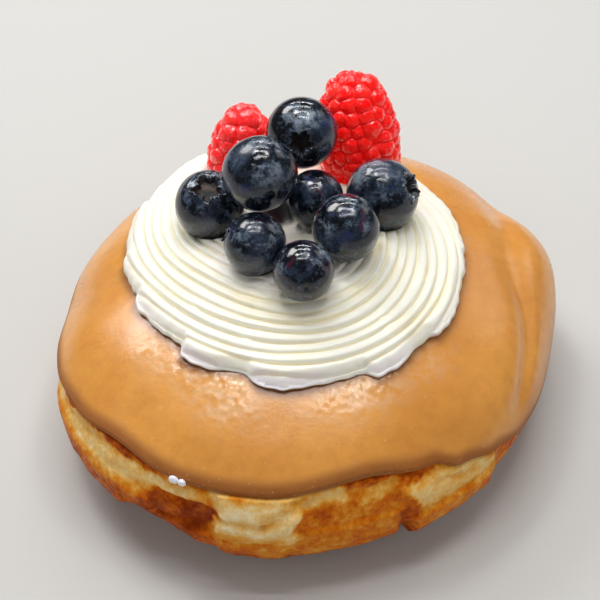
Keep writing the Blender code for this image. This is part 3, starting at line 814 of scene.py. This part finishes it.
def makeCream(material):
    columns = cream["columns"]
    numbers = list(range(-15, 11))
    ribs = cream["ribs"]
    lines = [(number, share, height) for number in reversed(numbers) for share, height in reversed(ribs)]
    underRadii = cream["underRadii"]
    rim = cream["rim"]
    innerRadii = cream["innerRadii"]
    firstRim = len(underRadii)
    firstLine = firstRim + len(rim)
    firstInner = firstLine + len(lines)
    rows = firstInner + len(innerRadii)

    def place(column, row):
        turn = crowded(column, columns, 90.0)
        angle = turn % 360.0
        ragged = 0.00016 * np.sin(np.radians(angle * 23.0) + 2.0 * np.sin(np.radians(angle * 7.0)))
        slowTurn = np.sin(np.radians(angle * 11.0))
        ragged = ragged + 0.00009 * np.sin(np.radians(angle * 61.0) + 1.3 * slowTurn)
        edge = creamEdge(angle) + ragged
        radius = np.zeros(angle.shape)
        for index, value in enumerate(underRadii):
            radius = np.where(row == index, value, radius)
        for index, (inset, _) in enumerate(rim):
            radius = np.where(row == firstRim + index, edge - inset, radius)
        lineRow = np.clip(row - firstLine, 0, len(lines) - 1)
        lineNumber, lineShare, lineHeight = np.array(lines, float)[lineRow].T
        lineRadius = ridgeRadius(lineNumber + lineShare, turn)
        # ribs stray a little from one to the next
        stray = np.sin(np.radians(angle * 3.0) + lineNumber * 2.1)
        stray = stray + np.sin(np.radians(angle * 5.0) - lineNumber * 1.3)
        lineRadius = lineRadius + 0.00013 * stray
        onLine = (row >= firstLine) & (row < firstInner)
        outermost = edge - cream["ribInset"]
        outer = lineRadius > outermost
        inner = lineRadius < cream["inner"]
        lineRadius = np.where(outer, outermost, np.where(inner, cream["inner"], lineRadius))
        radius = np.where(onLine, lineRadius, radius)
        ribHeight = np.where(onLine & ~outer & ~inner, lineHeight, 0.0)
        phase = np.where(onLine, lineNumber + lineShare, 0.0)
        for index, value in enumerate(innerRadii):
            radius = np.where(row == firstInner + index, value, radius)
        turning = np.radians(angle)
        x = cream["centre"][0] + radius * np.cos(turning)
        y = cream["centre"][1] + radius * np.sin(turning)
        coat = icingHeight(x, y)
        front = bell(turnFrom(angle, frontAngle), 45.0)
        rear = bell(turnFrom(angle, cream["rearAngle"]), cream["rearSpread"])
        thin = cream["edgeSide"] + (cream["edgeFront"] - cream["edgeSide"]) * front
        thin = thin + cream["rearEdge"] * rear
        shoulder = bell(radius - cream["shoulderRadius"], cream["shoulderSpread"])
        thick = cream["thick"] + cream["shoulder"] * shoulder
        thick = thick + cream["rearThick"] * rear * smoothStep((radius - 0.020) / 0.010)
        inward = smoothStep((edge - radius) / cream["rimRound"])
        fade = smoothStep((radius - cream["inner"]) / 0.004) * (0.35 + 0.65 * inward)
        smear = np.ones(x.shape)
        for spot in cream["smears"]:
            smear = smear * (1.0 - spots(angle, radius, [spot]))
        uneven = 1.0 + 0.32 * np.sin(np.radians(angle * 2.0) + phase * 1.7)
        uneven = uneven + 0.16 * np.sin(np.radians(angle * 7.0) + phase * 2.9)
        relief = ribHeight * cream["halfDepth"] * fade * smear * uneven
        # the swirl thins out towards its rim
        wall = thin + (thick - thin) * inward
        top = coat + wall + relief
        onTop = row >= firstLine
        points = stack(x, y, np.zeros(x.shape))
        soft = wanderOn(onTop, points, 0.0038, 3, 6.0)
        loose = 1.0 - smear * smoothStep((radius - 0.010) / 0.008)
        top = top + soft * (0.00008 + 0.00042 * loose) * smoothStep((edge - radius) / 0.002)
        # the middle is sunk between the berries, with one torn peak
        for (px, py), spread, amount in cream["hollows"]:
            top = top + amount * bell(np.hypot(x - px, y - py), spread) * (1.0 + 0.5 * soft)
        top = top + spots(angle, radius, cream["tornLips"])
        under = berryUnderside(x, y, 0.00012)
        socket = np.minimum(top, under)
        top = np.maximum(socket, coat + 1.9 * skinGap)
        # flaps at the front stand clear of the icing by a little
        flap = frillAt(angle) / 0.002
        lift = 0.00045 * flap * smoothStep((radius - edge + 0.0025) / 0.0020)
        bottom = coat + 0.00008 + lift
        rimTop = coat + thin + 0.3 * lift
        z = np.where(row < firstRim, coat + 0.00008, top)
        for index, (_, share) in enumerate(rim):
            z = np.where(row == firstRim + index, bottom + (rimTop - bottom) * share, z)
        # tones
        tone = np.tile(linear(236, 235, 224), (len(x), 1))
        # painted shade: the troughs between the ribs are tinted a warm yellow
        valley = smoothStep((-ribHeight - 0.1) / 0.8) * fade * smear
        tone = tinted(tone, 0.75 * valley, (240, 229, 192))
        # painted shade: the flaps are tinted lavender, the cool tone of cream in shade
        flapTone = smoothStep((radius - edge + 0.0024) / 0.0016) * np.clip(flap * 1.2, 0.0, 1.0)
        tone = tinted(tone, 0.65 * flapTone * (0.3 + 0.7 * front), (236, 226, 238))
        for *spot, colour in cream["tints"]:
            tone = tinted(tone, spots(angle, radius, [spot]), colour)
        # painted shade between the berries
        for (px, py), reach, softness, strength, colour in cream["shades"]:
            mask = strength * plateau(np.hypot(x - px, y - py), reach, softness)
            tone = tinted(tone, mask, colour)
        return stack(x, y, z), tone

    bm = makeGrid(columns, rows, "tone", place)
    return addPiece("creamSwirl", bm, material, ["cream"])


def creamMaterial():
    material, tree, shader = newMaterial("pipedCream", 0.42, 0.4)
    place = objectPlace(tree)
    tone = addNode(tree, "ShaderNodeAttribute", attribute_name="tone").outputs["Color"]
    broad = noiseNode(tree, place, 110.0, 3.0)
    clouds = rampNode(tree, broad, 0.4, 0.75, 0.0, 0.5)
    base = mixNode(tree, clouds, tone, linear(250, 246, 232), "MULTIPLY")
    tree.links.new(base, shader.inputs["Base Color"])
    fine = noiseNode(tree, place, 900.0, 2.0, 0.5)
    bumpNode(tree, shader, fine, 0.00005, 0.5)
    softInside(shader, 0.45, (1.0, 0.8, 0.55), 0.0015)
    return material


# A fleck of cream in two lobes that has dropped on the lip of the icing

fleck = {
    # place of each lobe, its half sizes
    "lobes": (
        ((-0.02605, -0.04915, 0.02500), (0.00105, 0.00065, 0.00085)),
        ((-0.02440, -0.05005, 0.02515), (0.00085, 0.00060, 0.00080)),
    ),
    "turn": -28.0,
}


def makeFleck(material):
    for number, (place, half) in enumerate(fleck["lobes"], start=1):
        bm = bmesh.new()
        bmesh.ops.create_icosphere(bm, subdivisions=4, radius=1.0)
        for vert in bm.verts:
            vert.co *= 1.0 + 0.10 * noise.noise(vert.co * 1.4 + Vector((number, 0.0, 0.0)))
        turned = Matrix.Rotation(math.radians(fleck["turn"]), 4, "Z") @ Matrix.Diagonal((*half, 1.0))
        addPiece(f"creamFleck{number}", bm, material, [], Matrix.Translation(place) @ turned)


def fleckMaterial():
    material, tree, shader = newMaterial("creamFleck", 0.35, 0.4)
    shader.inputs["Base Color"].default_value = opaque(232, 232, 244)
    softInside(shader, 0.3, (1.0, 0.9, 0.8), 0.001)
    return material


# Blueberries

def turnedTo(direction):
    return Vector(direction).to_track_quat("Z", "Y").to_matrix().to_4x4()


def makeBlueberry(number, material):
    place, radius, facing, tallness, wideness = blueberry["berries"][number]
    columns, rows = blueberry["columns"], blueberry["rows"]
    crown = blueberry["calyxRows"]

    def shape(column, row):
        turn = 2.0 * math.pi * column / columns
        # the calyx from its floor out over the rim, in five torn lobes
        lobes = 0.5 + 0.5 * np.cos(5.0 * turn + number)
        ragged = 0.16 * np.sin(11.0 * turn + number * 2.0) + 0.12 * np.sin(17.0 * turn + number)
        ragged = ragged + 0.12 * np.sin(29.0 * turn + number * 3.0)
        tall = np.clip(lobes ** 0.7 + ragged, -0.2, 1.3) * tallness
        share = np.clip(row / crown, 0.0, 1.0)
        keys = blueberry["calyx"][0]
        sections = [np.interp(share, keys, values) for values in blueberry["calyx"][1:]]
        acrossLow, acrossHigh, upLow, upHigh = sections
        across = (acrossLow + (acrossHigh - acrossLow) * tall) * wideness
        stray = 0.12 * np.cos(5.0 * turn + number) + 0.08 * np.sin(9.0 * turn + 2.0 * number)
        stray = stray + 0.05 * np.sin(17.0 * turn + number)
        across = across * (1.0 + stray * (1.0 - smoothStep((share - 0.82) / 0.18)))
        up = np.sqrt(1.0 - np.minimum(across, 0.95) ** 2) - 0.021 + upLow + (upHigh - upLow) * tall
        # the skin
        startAngle = math.asin(0.40 * wideness)
        along = np.clip((row - crown) / (rows - 1.0 - crown), 0.0, 1.0)
        polar = startAngle + (math.pi - startAngle) * along
        ball = 1.004 - 0.014 * bell(np.degrees(polar), 42.0) - 0.045 * bell(180.0 - np.degrees(polar), 26.0)
        skin = row > crown
        across = np.where(skin, ball * np.sin(polar), across)
        up = np.where(skin, ball * np.cos(polar), up)
        local = stack(across * np.cos(turn), across * np.sin(turn), up)
        bump = wander(local + 10.0 * number, 0.75, 2, 9.0)
        pits = wander(local + 10.0 * number, 0.14, 2, 12.0)
        local = local * (1.0 + (0.013 * bump + 0.0024 * pits) * (0.3 + 0.7 * skin))[:, None]
        inside = 1.0 - smoothStep((share - 0.40) / 0.25)
        if number == blueberry["scar"][0]:
            _, scarFacing, scarSpread = blueberry["scar"]
            towards = turnedTo(facing).to_3x3().inverted() @ Vector(scarFacing).normalized()
            closeness = local @ np.array(towards) / np.linalg.norm(local, axis=1)
            scar = bell(np.arccos(np.clip(closeness, -1.0, 1.0)), scarSpread)
            local = local * (1.0 - 0.05 * scar)[:, None]
            inside = np.maximum(inside, scar)
        rimTone = bell(share - 0.70, 0.10) * ~skin
        # only the open calyx of the third berry shows much brown
        marks = stack(inside, rimTone, np.full(up.shape, 1.0 if number == 2 else 0.15))
        return local * radius, marks

    matrix = Matrix.Translation(place) @ turnedTo(facing)
    name = f"blueberry{number + 1}"
    bm = makeGrid(columns, rows, "marks", shape)
    return addPiece(name, bm, material, [f"blueberry_{number + 1}"], matrix)


def blueberryMaterial():
    material, tree, shader = newMaterial("blueberrySkin", 0.22, 0.5)
    place = objectPlace(tree)
    marks = paintedLayer(tree, "marks")
    inside = marks["Red"]
    bloom = noiseNode(tree, place, 150.0, 6.0, 0.72)
    base = mixNode(tree, rampNode(tree, bloom, 0.44, 0.62), linear(8, 11, 18), linear(40, 52, 70))
    for pattern, low, high, most, colour in blueberry["blotches"]:
        blotch = rampNode(tree, noiseNode(tree, place, *pattern), low, high, 0.0, most)
        base = mixNode(tree, blotch, base, linear(*colour))
    # pale bloom, made stronger where the skin faces up: the bloom is real, the extra pale on top is painted
    # light from above
    upward = addNode(tree, "ShaderNodeSeparateXYZ")
    tree.links.new(addNode(tree, "ShaderNodeNewGeometry").outputs["Normal"], upward.inputs["Vector"])
    dusty = noiseNode(tree, place, 190.0, 6.0, 0.78)
    facingUp = rampNode(tree, upward.outputs["Z"], 0.1, 0.9)
    paleBloomAndTopLight = times(tree, facingUp, rampNode(tree, dusty, 0.51, 0.67, 0.0, 0.80))
    base = mixNode(tree, paleBloomAndTopLight, base, linear(142, 156, 172))
    brown = noiseNode(tree, place, 500.0, 3.0, 0.6)
    browned = times(tree, rampNode(tree, brown, 0.48, 0.62), marks["Blue"])
    flesh = mixNode(tree, browned, linear(14, 10, 9), linear(66, 44, 28))
    base = mixNode(tree, inside, base, flesh)
    base = mixNode(tree, times(tree, marks["Green"], 0.5), base, linear(60, 66, 76))
    tree.links.new(base, shader.inputs["Base Color"])
    rough = rampNode(tree, bloom, 0.40, 0.66, 0.10, 0.30)
    rough = plus(tree, rough, times(tree, inside, 0.5))
    tree.links.new(rough, shader.inputs["Roughness"])
    coat = mathNode(tree, "SUBTRACT", 0.35, times(tree, inside, 0.35))
    tree.links.new(coat, shader.inputs["Coat Weight"])
    pits = noiseNode(tree, place, 480.0, 4.0, 0.62)
    bumpNode(tree, shader, pits, 0.00012, 0.6)
    shader.inputs["Coat Roughness"].default_value = 0.08
    return material


# Raspberries

def raspberryWidth(share, width, bluntness):
    widest = raspberry["widest"]
    narrowing = np.clip((widest - share) / widest, 0.0, 1.0)
    low = 0.5 * width * (1.0 - raspberry["baseNarrowing"] * narrowing ** 2)
    taper = np.clip((share - widest) / (1.0 - widest), 0.0, 1.0)
    high = 0.5 * width * np.sqrt(np.maximum(1.0 - taper ** bluntness, 0.0))
    return np.where(share < widest, low, high)


def beadCentres(length, width, bead, bluntness):
    # rings of beads from base to tip, each half a bead on from the last
    rng = np.random.default_rng(int(length * 1e6))
    centres = []
    travelled = 0.35 * bead
    walked = 0.0
    ring = 0
    last = np.array([float(raspberryWidth(0.0, width, bluntness)), 0.0])
    steps = 200
    for step in range(1, steps + 1):
        share = step / steps
        here = np.array([float(raspberryWidth(share, width, bluntness)), share * length])
        walked += float(np.hypot(*(here - last)))
        last = here
        if walked < travelled or here[0] < 0.35 * bead:
            continue
        count = max(round(2.0 * math.pi * here[0] / bead), 3)
        for index in range(count):
            turn = 2.0 * math.pi * (index + 0.5 * (ring % 2)) / count + rng.normal(0.0, 0.07)
            up = here[1] + rng.normal(0.0, 0.10 * bead)
            size = bead * rng.uniform(0.70, 0.86)
            centres.append((here[0] * math.cos(turn), here[0] * math.sin(turn), up, size))
        ring += 1
        travelled += raspberry["rowSpacing"] * bead
    centres.append((0.0, 0.0, length, 0.76 * bead))
    return np.array(centres)


def makeRaspberry(number, material):
    place, lean, length, width, bead, bluntness = raspberry["berries"][number]
    columns, rows = raspberry["columns"], raspberry["rows"]
    sunk = 0.78 * bead
    coreLength, coreWidth = length - sunk, width - 2.0 * sunk
    bluntness = bluntness - 0.3
    centres = beadCentres(coreLength, coreWidth, bead * coreWidth / (width - sunk), bluntness)
    centres[:, 3] = centres[:, 3] * (width - sunk) / coreWidth

    def shape(column, row):
        turn = 2.0 * math.pi * column / columns
        under = 16
        along = np.clip((row - under) / (rows - 1.0 - under), 0.0, 1.0)
        share = np.sin(along * math.pi * 0.5) ** 1.15
        across = raspberryWidth(share, coreWidth, bluntness)
        up = share * coreLength
        below = row < under
        across = np.where(below, raspberryWidth(0.0, coreWidth, bluntness) * row / under, across)
        up = np.where(below, 0.0, up)
        core = stack(across * np.cos(turn), across * np.sin(turn), up)
        none = np.zeros(up.shape)
        middle = stack(none, none, np.clip(up, 0.35 * coreLength, 0.72 * coreLength))
        out = core - middle
        reach = np.linalg.norm(out, axis=1)
        out = out / reach[:, None]
        best = np.full(up.shape, -1.0)
        owner = np.zeros(up.shape)
        second = np.full(up.shape, -1.0)
        # how far out along its own ray each point leaves each bead
        for index, (cx, cy, cz, size) in enumerate(centres):
            toBead = np.array([cx, cy, cz]) - core
            onRay = np.einsum("ij,ij->i", toBead, out)
            off = np.einsum("ij,ij->i", toBead, toBead) - onRay * onRay
            height = onRay + np.sqrt(np.maximum(size * size - off, 0.0))
            height = np.where(off < size * size, height, -1.0)
            second = np.maximum(second, np.minimum(best, height))
            owner = np.where(height > best, index, owner)
            best = np.maximum(best, height)
        lift = np.maximum(best, 0.0002)
        crease = 1.0 - smoothStep((best - np.maximum(second, 0.0002)) / 0.0005)
        lift = lift - 0.00010 * crease
        lift = np.where(below, 0.0, lift) * smoothStep((row - under + 1.0) / 5.0)
        crumple = wander(core + out * lift[:, None] + 3.0 * number, 0.0011, 2, 15.0)
        lift = lift + 0.00017 * crumple * smoothStep((row - under) / 6.0)
        local = core + out * lift[:, None]
        local[:, 2] = np.maximum(local[:, 2], 0.0)
        shade = np.sin(owner * 12.9898) * 43758.5453
        shade = shade - np.floor(shade)
        marks = stack(np.clip(crease, 0.0, 1.0), shade, np.full(up.shape, 1.0 - number))
        return local, marks

    matrix = Matrix.Translation(place) @ turnedTo(lean)
    name = f"raspberry{number + 1}"
    bm = makeGrid(columns, rows, "marks", shape)
    return addPiece(name, bm, material, [f"raspberry_{number + 1}"], matrix)


def raspberryMaterial():
    material, tree, shader = newMaterial("raspberryFlesh", 0.24, 0.4)
    place = objectPlace(tree)
    marks = paintedLayer(tree, "marks")
    base = mixNode(tree, marks["Green"], linear(253, 8, 8), linear(255, 24, 18))
    # the smaller berry is pinker
    base = mixNode(tree, times(tree, marks["Blue"], 0.55), base, linear(255, 62, 66))
    # painted shade darkens the creases
    base = mixNode(tree, times(tree, marks["Red"], 0.4), base, linear(200, 2, 6))
    cloud = noiseNode(tree, place, 330.0, 3.0)
    base = mixNode(tree, rampNode(tree, cloud, 0.5, 0.75, 0.0, 0.35), base, linear(252, 66, 54))
    tree.links.new(base, shader.inputs["Base Color"])
    rough = rampNode(tree, cloud, 0.3, 0.7, 0.14, 0.32)
    rough = plus(tree, rough, times(tree, marks["Red"], 0.35))
    tree.links.new(rough, shader.inputs["Roughness"])
    # creases stay dull and get a weaker glow, painted shade; the beads get a faint red emission, painted
    # light though they are no lamp
    proud = rampNode(tree, marks["Red"], 0.3, 1.0, 1.0, 0.0)
    tree.links.new(times(tree, proud, 0.85), shader.inputs["Coat Weight"])
    shader.inputs["Coat Roughness"].default_value = 0.06
    shader.inputs["Emission Strength"].default_value = 0.19
    glow = mixNode(tree, rampNode(tree, cloud, 0.40, 0.62), linear(255, 20, 16), linear(255, 56, 42))
    tree.links.new(mixNode(tree, proud, linear(160, 4, 4), glow), shader.inputs["Emission Color"])
    fine = noiseNode(tree, place, 1100.0, 2.0)
    wrinkle = noiseNode(tree, place, 420.0, 3.0, 0.6)
    bumpNode(tree, shader, plus(tree, wrinkle, times(tree, fine, 0.4)), 0.0004, 0.9)
    softInside(shader, 0.3, (1.0, 0.10, 0.06), 0.0012)
    return material


# Stage: a plain pale floor, soft light from above and the camera

stageSet = {
    "floorSize": 3.0, "floorColour": (194, 193, 190),
    "target": (-0.00177, 0.00872, 0.0170), "distance": 0.320, "elevation": 44.0, "lens": 85.36,
    # area lights: place, height over the middle that it points at, size, watts, colour,
    # whether gloss shows it
    "lights": (
        ((-0.05, 0.10, 0.78), 0.02, (0.90, 0.55), 1.15, (1.0, 0.99, 0.97), False),
        ((-0.44, 0.50, 0.60), 0.03, (0.34, 0.28), 2.7, (1.0, 0.99, 0.98), True),
        ((-0.24, 0.26, 0.78), 0.04, (0.15, 0.14), 1.1, (1.0, 0.99, 0.98), True),
        ((0.20, 0.13, 0.78), 0.04, (0.12, 0.11), 0.55, (1.0, 0.99, 0.98), True),
        ((0.60, 0.44, 0.48), 0.03, (0.30, 0.30), 0.35, (1.0, 0.99, 0.98), True),
        ((-0.70, -0.15, 0.38), 0.02, (0.50, 0.40), 0.7, (1.0, 0.99, 0.98), False),
        ((0.70, -0.10, 0.40), 0.02, (0.50, 0.40), 1.0, (1.0, 0.99, 0.98), False),
        ((0.05, -0.70, 0.45), 0.03, (0.60, 0.40), 1.3, (1.0, 0.98, 0.95), False),
        ((0.0, -0.02, 0.60), 0.05, (0.34, 0.010), 0.55, (1.0, 1.0, 1.0), True),
        ((0.0, 0.16, 0.58), 0.05, (0.34, 0.010), 0.55, (1.0, 1.0, 1.0), True),
        ((0.0, 0.36, 0.50), 0.05, (0.36, 0.010), 0.55, (1.0, 1.0, 1.0), True),
        ((0.0, 0.56, 0.36), 0.05, (0.40, 0.011), 0.55, (1.0, 1.0, 1.0), True),
    ),
    "ambient": 0.08,
}


def makeStage():
    bm = bmesh.new()
    bmesh.ops.create_grid(bm, x_segments=1, y_segments=1, size=0.5 * stageSet["floorSize"])
    mesh = bpy.data.meshes.new("floor")
    bm.to_mesh(mesh)
    bm.free()
    material, tree, shader = newMaterial("paleFloor", 0.8, 0.2)
    shader.inputs["Base Color"].default_value = opaque(*stageSet["floorColour"])
    mesh.materials.append(material)
    floor = inScene("floor", mesh)
    for index, (place, aimHeight, size, watts, colour, inGloss) in enumerate(stageSet["lights"]):
        lamp = bpy.data.lights.new(f"softLight{index + 1}", "AREA")
        lamp.shape = "RECTANGLE"
        lamp.size, lamp.size_y = size
        lamp.energy = watts
        lamp.color = colour
        light = inScene(lamp.name, lamp)
        light.location = place
        light.visible_glossy = inGloss
        aim = Vector((0.0, 0.0, aimHeight)) - Vector(place)
        light.rotation_euler = aim.to_track_quat("-Z", "Y").to_euler()
    world = bpy.data.worlds.new("studio")
    world.use_nodes = True
    background = world.node_tree.nodes["Background"]
    background.inputs["Color"].default_value = (1.0, 1.0, 1.0, 1.0)
    background.inputs["Strength"].default_value = stageSet["ambient"]
    bpy.context.scene.world = world
    bpy.context.scene.view_settings.view_transform = "Standard"
    camera = bpy.data.cameras.new("camera")
    camera.lens = stageSet["lens"]
    camera.sensor_width = 36.0
    camera.clip_start = 0.01
    cameraObject = inScene("camera", camera)
    up = math.radians(stageSet["elevation"])
    target = Vector(stageSet["target"]) - workMiddle
    cameraObject.location = target + stageSet["distance"] * Vector((0.0, -math.cos(up), math.sin(up)))
    cameraObject.rotation_euler = (target - cameraObject.location).to_track_quat("-Z", "Y").to_euler()
    bpy.context.scene.camera = cameraObject
    print("made stage")


makeStage()
makeDough(doughMaterial())
makeIcing(icingMaterial())
makeCream(creamMaterial())
makeFleck(fleckMaterial())
blueSkin = blueberryMaterial()
for berryNumber in range(len(blueberry["berries"])):
    makeBlueberry(berryNumber, blueSkin)
redFlesh = raspberryMaterial()
for berryNumber in range(len(raspberry["berries"])):
    makeRaspberry(berryNumber, redFlesh)

print("finished pieces")
